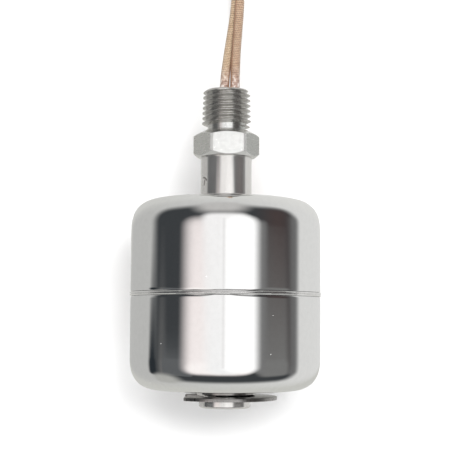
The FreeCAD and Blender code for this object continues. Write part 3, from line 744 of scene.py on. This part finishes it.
def cable_tie():
    """A nylon strap round both coils, with rounded edges, and its head."""
    thick, half, edge = 0.9, 1.2, 0.18
    head_size = Vector((3.6, 3.6, 1.7))
    low, high = box_mm("lead_tie")
    x = (low.x + high.x) / 2
    front = box_mm("lead_left_coil")[0]
    y0, y1 = front.y, box_mm("lead_right_coil")[1].y
    z0, z1 = front.z, high.z - thick
    inner = rounded([(y0, z0), (y1, z0), (y1, z1), (y0, z1)], [0.8] * 4)
    outer = rounded([
        (y0 - thick, z0 - thick), (y1 + thick, z0 - thick),
        (y1 + thick, z1 + thick), (y0 - thick, z1 + thick),
    ], [1.2] * 4)
    points = []
    for across, share in ((-half, edge), (-half + edge, 0), (half - edge, 0), (half, edge)):
        for (iy, iz), (oy, oz) in zip(inner, outer):
            points.append((x + across, oy + (iy - oy) * share, oz + (iz - oz) * share))
    for across, share in ((half, 0.12), (-half, 0.12)):
        for (iy, iz), (oy, oz) in zip(inner, outer):
            points.append((x + across, iy + (oy - iy) * share, iz + (oz - iz) * share))
    strap = mesh_object("cable_tie_strap", points, grid_faces(6, len(inner), True), NYLON)
    sharpen(strap, 40)
    attach(strap, "stem", ["lead_tie"])

    mesh = bpy.data.meshes.new("cable_tie_head")
    work = bmesh.new()
    bmesh.ops.create_cube(work, size=1.0)
    middle = Vector((x, (y0 + y1) / 2, z0 - thick))
    for vertex in work.verts:
        vertex.co = (middle + vertex.co * head_size) * MM
    bmesh.ops.bevel(
        work, geom=work.edges[:], offset=0.35 * MM, segments=3, profile=0.6, affect="EDGES"
    )
    work.to_mesh(mesh)
    work.free()
    mesh.materials.append(NYLON)
    for face in mesh.polygons:
        face.use_smooth = True
    head = bpy.data.objects.new("cable_tie_head", mesh)
    bpy.context.scene.collection.objects.link(head)
    return strap, attach(head, "stem", ["lead_tie"])


def make_leads():
    """Both leads with their coils one behind the other, tied together."""
    layer = [0.0288, 0.0314, 0.0340, 0.0366]  # Y of the coils' four layers
    left = lead_curve(
        "left_lead", LEFT_ROUTE, layer[1], layer[0], ["lead_left", "lead_left_coil"],
        (0.59, 0.455, 0.315), (0.43, 0.29, 0.18), 1,
    )
    right = lead_curve(
        "right_lead", RIGHT_ROUTE, layer[2], layer[3], ["lead_right", "lead_right_coil"],
        (0.50, 0.355, 0.25), (0.38, 0.245, 0.16), -1,
    )
    left_tip = tip("left_lead_tip", "lead_left_tip")
    right_tip = tip("right_lead_tip", "lead_right_tip")
    strap, head = cable_tie()


make_leads()


# ---------------------------------------------------------------- fitting and stem

STEM_BORE = box_mm("stem_end_plug")[1].x
GROOVE_RADIUS = 5.7  # of the clip's groove
HEX_UNDER = STEM_HIGH.z
FIT_LOW, FIT_HIGH = box_mm("hex_fitting")
HEX_FLAT, HEX_CORNER = 7.9375, 8.92
HEX_TURN = math.radians(3.8)
CORNER_BLEND = 0.012  # rounding where the flats meet the turned corners
CROWN_RADIUS, CROWN_SLOPE = 5.61, 0.527
BASE_RADIUS, BASE_SLOPE = 7.73, 0.79
NECK, WIRE_BORE, BORE_CHAMFER = 5.05, 3.55, 0.25

PITCH = 25.4 / 18  # of a 1/4 in taper pipe thread
CREST_HALF = 0.05  # half width of a crest
# Heights of the skin's rows over one pitch, from a crest's middle.
THREAD_ROWS = (-CREST_HALF, CREST_HALF, 0.25, 0.45, 0.65, 0.761, 0.961, 1.161)
FLANK, ROOT_DEPTH = 1.732, 1.04
RUN_IN = 2.8  # slope of the lowest ridge's underside
RIDGE_EARLY, RIDGE_GROWTH = 0.14, 0.2  # turns before the +X side, and to full height
FIRST_CREST = 1.12  # height of a crest's middle on the +X side
CREST_BASE, CREST_TAPER = 6.70, 0.034
THREAD_LOW, THREAD_HIGH = 0.10, FIT_HIGH.z
END_RADIUS, END_SLOPE = 5.62, 1.05


def ridge_share(turns):
    """How far the ridge has grown, that many turns from the +X side: 0 none, 1 full."""
    return min(max((turns + RIDGE_EARLY) / RIDGE_GROWTH, 0.0), 1.0)


def thread_radius(angle, z):
    """Radius of the threaded skin at a height, wound right-handed around the taper."""
    turn = (z - FIRST_CREST) / PITCH - angle / FULL_TURN
    crest = CREST_BASE - CREST_TAPER * z
    lower = math.floor(turn)
    grown, next_grown = (ridge_share(lower + k + angle / FULL_TURN) for k in range(2))
    above = max(0.0, (turn - lower) * PITCH - CREST_HALF) * FLANK
    run_in = RUN_IN + (FLANK - RUN_IN) * grown
    below = max(0.0, (lower + 1 - turn) * PITCH - CREST_HALF) * run_in
    radius = max(
        NECK, NECK + (crest - NECK) * grown - above, NECK + (crest - NECK) * next_grown - below
    )
    if min(grown, next_grown) == 1.0:
        radius = max(radius, crest - ROOT_DEPTH)
    return min(radius, END_RADIUS + END_SLOPE * (THREAD_HIGH - z))


def hex_radius(angle):
    """The hexagon with its turned corners, a little rounded where they meet."""
    across = (angle - HEX_TURN) % (math.pi / 3) - math.pi / 6
    beyond = (HEX_FLAT / math.cos(across) - HEX_CORNER) / CORNER_BLEND
    if beyond < -30:  # well inside the turned corners, where the exponential grows too large
        return HEX_CORNER + CORNER_BLEND * beyond
    return HEX_CORNER - CORNER_BLEND * math.log1p(math.exp(-beyond))


def fitting_columns():
    """Angles for the fitting's skin, closer together at the hexagon's corners."""
    count = 180
    angles = [FULL_TURN * i / count for i in range(count + 1)]
    land = math.acos(HEX_FLAT / HEX_CORNER)
    for k in range(6):
        for side in (-1, 1):
            edge = HEX_TURN + math.pi / 6 + k * math.pi / 3 + side * land
            angles += [(edge + step) % FULL_TURN for step in (-0.012, -0.004, 0.004, 0.012)]
    return sorted(angles)


def fitting():
    """Spigot, hexagon, neck, taper thread and bore, as one closed skin."""
    columns = []
    for angle in fitting_columns():
        r = hex_radius(angle)
        turned = rounded([
            (WIRE_BORE, FIT_LOW.z),
            (STEM_BORE, FIT_LOW.z),
            (STEM_BORE, HEX_UNDER),
            (BASE_RADIUS, HEX_UNDER),
            (r, HEX_UNDER + (r - BASE_RADIUS) * BASE_SLOPE),
            (r, -(r - CROWN_RADIUS) * CROWN_SLOPE),
            (CROWN_RADIUS, 0),
            (NECK, 0),
        ], [0, 0, 0, 0.04, 0.09, 0.09, 0.12, 0])
        for turn in range(-2, 8):
            for height in THREAD_ROWS:
                z = FIRST_CREST + PITCH * (angle / FULL_TURN + turn) + height
                z = min(max(z, THREAD_LOW), THREAD_HIGH)
                turned.append((thread_radius(angle, z), z))
        turned.append((WIRE_BORE + BORE_CHAMFER, THREAD_HIGH))
        turned.append((WIRE_BORE, THREAD_HIGH - BORE_CHAMFER))
        columns.append([(x * math.cos(angle), x * math.sin(angle), z) for x, z in turned])
    rows = len(columns[0])
    points = [point for column in columns for point in column]
    faces = []
    for i in range(len(columns) - 1):
        for j in range(rows):
            k = (j + 1) % rows
            faces.append((i * rows + j, (i + 1) * rows + j, (i + 1) * rows + k, i * rows + k))
    obj = mesh_object("fitting", points, faces, FITTING_STEEL)
    for material in (THREAD_STEEL, TURNED_EDGE, MILLED_SIDE, PAINTED_SHADE_SIDE):
        obj.data.materials.append(material)
    threaded, edge, left_side, shaded_right_side = range(1, 5)
    for face in obj.data.polygons:
        middle = face.center / MM
        out = math.hypot(middle.x, middle.y)
        upright = abs(face.normal.z) < 0.05
        if middle.z > THREAD_LOW + 0.3 and out > NECK + 0.1:
            face.material_index = threaded
        elif upright and out > HEX_CORNER - 0.03:
            face.material_index = edge
        # Side flats facing +X take the darker copy as painted shade; those facing -X take the milled
        # side steel.
        elif upright and middle.z > HEX_UNDER and abs(face.normal.x) > 0.35:
            face.material_index = shaded_right_side if face.normal.x > 0 else left_side
    sharpen(obj, 26)
    return attach(obj, "stem", ["hex_fitting"])


def stem():
    """The tube with its clip groove and rounded end, and the plug with its weld dish."""
    clip_low, clip_high = box_mm("stop_clip")
    top, bottom = clip_high.z + 0.1, clip_low.z
    end_round = 0.45
    tube = rounded([
        (STEM_BORE, STEM_HIGH.z),
        (STEM_RADIUS, STEM_HIGH.z),
        (STEM_RADIUS, top),
        (GROOVE_RADIUS, top),
        (GROOVE_RADIUS, bottom),
        (STEM_RADIUS, bottom),
        (STEM_RADIUS, STEM_LOW.z + end_round),
        (STEM_RADIUS - end_round, STEM_LOW.z),
        (STEM_BORE, STEM_LOW.z),
    ], [0, 0.12, 0.08, 0.05, 0.05, 0.08, 0.35, 0.18, 0.1])
    lathe("stem_skin", tube, STEM_STEEL, "stem", ["stem_tube"])
    plug_high = box_mm("stem_end_plug")[1].z
    tiny = 0.02  # radius of the hole that closes the skin at the axis
    plug = rounded([
        (tiny, plug_high),
        (STEM_BORE, plug_high),
        (STEM_BORE, STEM_LOW.z),
        (STEM_BORE - 0.7, STEM_LOW.z + 0.12),
        (STEM_BORE - 1.1, STEM_LOW.z + 0.30),
        (tiny, STEM_LOW.z + 0.22),
    ], [0, 0, 0.1, 0.3, 0.3, 0])
    lathe("end_plug", plug, STEM_STEEL, "stem", ["stem_end_plug"], 128)


def arc(radius, start, end, steps):
    """Points on a circle about the stem, angles in degrees."""
    turns = [math.radians(start + (end - start) * i / steps) for i in range(steps + 1)]
    return [(radius * math.cos(a), radius * math.sin(a)) for a in turns]


def clip():
    """Stamped retaining clip: three lugs in the groove, two prongs, one edge rolled over."""
    low, high = box_mm("stop_clip")
    outer, tip_x = high.x, low.x
    mouth = 4.95  # half width of the gap between the prongs
    relief = STEM_RADIUS + 1.5
    front, side = 20, 110  # where the cuts between the lugs start and end, in degrees
    end = math.degrees(math.acos(tip_x / outer))
    lug = math.degrees(math.pi - math.asin(mouth / GROOVE_RADIUS))
    corners = arc(outer, -end, end, 90)
    radii = [0.9] + [0] * 89 + [0.9]
    corners += [(tip_x, mouth)] + arc(GROOVE_RADIUS, lug, side, 4) + arc(relief, side, front, 24)
    radii += [0.7, 0.4] + [0] * 3 + [0.3, 0.4] + [0] * 23 + [0.4]
    corners += arc(GROOVE_RADIUS, front, -front, 12) + arc(relief, -front, -side, 24)
    radii += [0.3] + [0] * 11 + [0.3, 0.4] + [0] * 23 + [0.4]
    corners += arc(GROOVE_RADIUS, -side, -lug, 4) + [(tip_x, -mouth)]
    radii += [0.3] + [0] * 3 + [0.4, 0.7]
    outline = rounded(corners, radii)
    count = len(outline)
    inwards = []
    for i in range(count):
        along = Vector(outline[(i + 1) % count]) - Vector(outline[i - 1])
        inwards.append(Vector((-along.y, along.x)).normalized())
    points = []
    layers = (
        (low.z, 0.05), (low.z + 0.04, 0.0), (high.z - 0.22, 0.0),
        (high.z - 0.08, 0.05), (high.z - 0.01, 0.16), (high.z, 0.30),
    )
    for z, inset in layers:
        for (x, y), inward in zip(outline, inwards):
            points.append((x + inward.x * inset, y + inward.y * inset, z))
    faces = grid_faces(len(layers), count, False)
    faces.append(tuple(range(count)))
    faces.append(tuple((len(layers) - 1) * count + i for i in range(count)))
    obj = mesh_object("clip", points, faces, CLIP_STEEL)
    sharpen(obj, 35)
    return attach(obj, "stem", ["stop_clip"])


# ---------------------------------------------------------------- float

UPPER_LOW, UPPER_HIGH = box_mm("float_upper_shell")
SHELL_TOP, SHELL_BOTTOM = UPPER_HIGH.z, box_mm("float_lower_shell")[0].z
SEAM_Z = UPPER_LOW.z
FLOAT_RADIUS = UPPER_HIGH.x
SLEEVE_LOW, SLEEVE_HIGH = box_mm("float_sleeve")
SHOULDER, WALL = 7.0, 0.5
BEAD = 0.62  # half height of the weld
# The drawn shoulder eases into wall and face like a squared-off ellipse, not a plain arc.
DRAW_REACH, SQUARENESS = 9.0, 2.68


def wander(angle, z, scale):
    """A smooth number from about -1 to 1 that closes around the float."""
    start, climb = (3.1, 7.7), 0.06
    around = Vector((math.cos(angle), math.sin(angle), 0)) * scale
    return noise.noise(around + Vector((*start, z * climb)))


def shell(name, node, face, sign):
    """A drawn half shell, sign +1 above the seam: wall pulled in unevenly next to the weld."""
    edge = SEAM_Z + sign * BEAD
    hole = SLEEVE_HIGH.x
    steps = (0.0, 0.08, 0.18, 0.32, 0.5, 0.8, 1.4, 2.5, 4.5, 7.0, 10.0, 13.0)
    wall = [(FLOAT_RADIUS, edge + sign * step) for step in steps]
    bend = []
    count = 32
    for i in range(count + 1):
        a = math.pi / 2 * i / count
        out, up = (max(0.0, f(a)) ** (2 / SQUARENESS) * DRAW_REACH for f in (math.cos, math.sin))
        bend.append((FLOAT_RADIUS - DRAW_REACH + out, face - sign * (DRAW_REACH - up)))
    crown = [(hole + beyond, face) for beyond in (6.0, 1.2, 0.5, 0)]
    out_middle, up_middle = FLOAT_RADIUS - SHOULDER, face - sign * SHOULDER
    inside = SHOULDER - WALL
    inner = [(hole, face - sign * WALL), (out_middle, face - sign * WALL)]
    count = 8
    for i in range(count, -1, -1):
        a = math.pi / 2 * i / count
        inner.append((out_middle + inside * math.cos(a), up_middle + sign * inside * math.sin(a)))
    inner.append((FLOAT_RADIUS - WALL, edge))

    def ripple(angle, radius, z):
        """Slow waves in wall and shoulder, and the uneven pull of the weld within reach of it."""
        if radius < FLOAT_RADIUS - DRAW_REACH:
            return 0
        reach, mean_pull, least_pull, depth = 0.5, 0.10, 0.02, 0.012
        near = max(0.0, 1 - abs(z - edge) / reach)
        pull = mean_pull * (1 + wander(angle, 40 * sign, 5.0))
        wave = depth * (wander(angle, z, 2.3) - 1)
        return wave - max(least_pull, pull) * near ** 2

    return lathe(
        name, wall + bend + crown + inner, FLOAT_STEEL, "float", [node], 320, ripple
    )


def weld():
    """The seam's bead: two uneven ridges with a groove between them."""
    outline = [
        (-WALL, BEAD), (-0.30, BEAD), (-0.06, 0.54), (0.16, 0.42), (0.24, 0.32), (0.20, 0.20),
        (0.0, 0.10), (-0.10, 0.03), (0.0, -0.05), (0.18, -0.14), (0.26, -0.26), (0.20, -0.38),
        (-0.04, -0.52), (-0.22, -BEAD), (-WALL, -BEAD),
    ]
    points = []
    segments = 480
    for out, up in outline:
        skin = 1.0 if out > -WALL else 0.0
        for i in range(segments):
            a = FULL_TURN * i / segments
            # broad and fine unevenness of the bead, outwards and up and down
            swell = skin * (0.05 * wander(a, up * 30, 9.0) + 0.006 * wander(a, up * 60, 45.0))
            drift = skin * (0.12 * wander(a, 90, 2.6) + 0.03 * wander(a, 140, 16.0))
            drift *= 1 - (up / BEAD) ** 2
            r = FLOAT_RADIUS + out + swell
            points.append((r * math.cos(a), r * math.sin(a), SEAM_Z + up + drift))
    obj = mesh_object("seam_bead", points, grid_faces(len(outline), segments, True), WELD_STEEL)
    sharpen(obj, 60)
    return attach(obj, "float", ["float_seam_weld"])


def sleeve():
    """The inner tube, with its lips rolled round at both ends."""
    gap, lip = 0.1, 0.22
    bore, outer = STEM_RADIUS + gap, SLEEVE_HIGH.x
    tube = rounded([
        (bore, SLEEVE_LOW.z), (outer, SLEEVE_LOW.z), (outer, SLEEVE_HIGH.z), (bore, SLEEVE_HIGH.z),
    ], [lip] * 4)
    return lathe("sleeve", tube, STEM_STEEL, "float", ["float_sleeve"], 192)


fitting()
stem()
clip()
shell("upper_shell", "float_upper_shell", SHELL_TOP, 1)
shell("lower_shell", "float_lower_shell", SHELL_BOTTOM, -1)
weld()
sleeve()


# ---------------------------------------------------------------- plain CAD pieces

FINISHES = (
    (RESIN, ["potting_compound"]),
    (GLASS, ["reed_glass"]),
    (REED_METAL, ["reed_blade_upper", "reed_blade_lower"]),
    (SHRINK, ["reed_sleeve", "return_sleeve"]),
    (TINNED, ["return_wire", "splice_right", "splice_left", "splice_lower"]),
    (TINNED, ["lead_right_core", "lead_left_core"]),
    (STEM_STEEL, ["stem_tube", "stem_end_plug", "float_sleeve"]),
    (CLIP_STEEL, ["stop_clip", "magnet_retainer_upper", "magnet_retainer_lower"]),
    (FITTING_STEEL, ["hex_fitting"]),
    (FERRITE, ["float_magnet"]),
    (FLOAT_STEEL, ["float_upper_shell", "float_lower_shell"]),
    (WELD_STEEL, ["float_seam_weld"]),
)
for material, nodes in FINISHES:
    for node in nodes:
        mesh = NODES[node].data
        mesh.materials.clear()
        mesh.materials.append(material)

bpy.context.scene.view_settings.view_transform = "Standard"
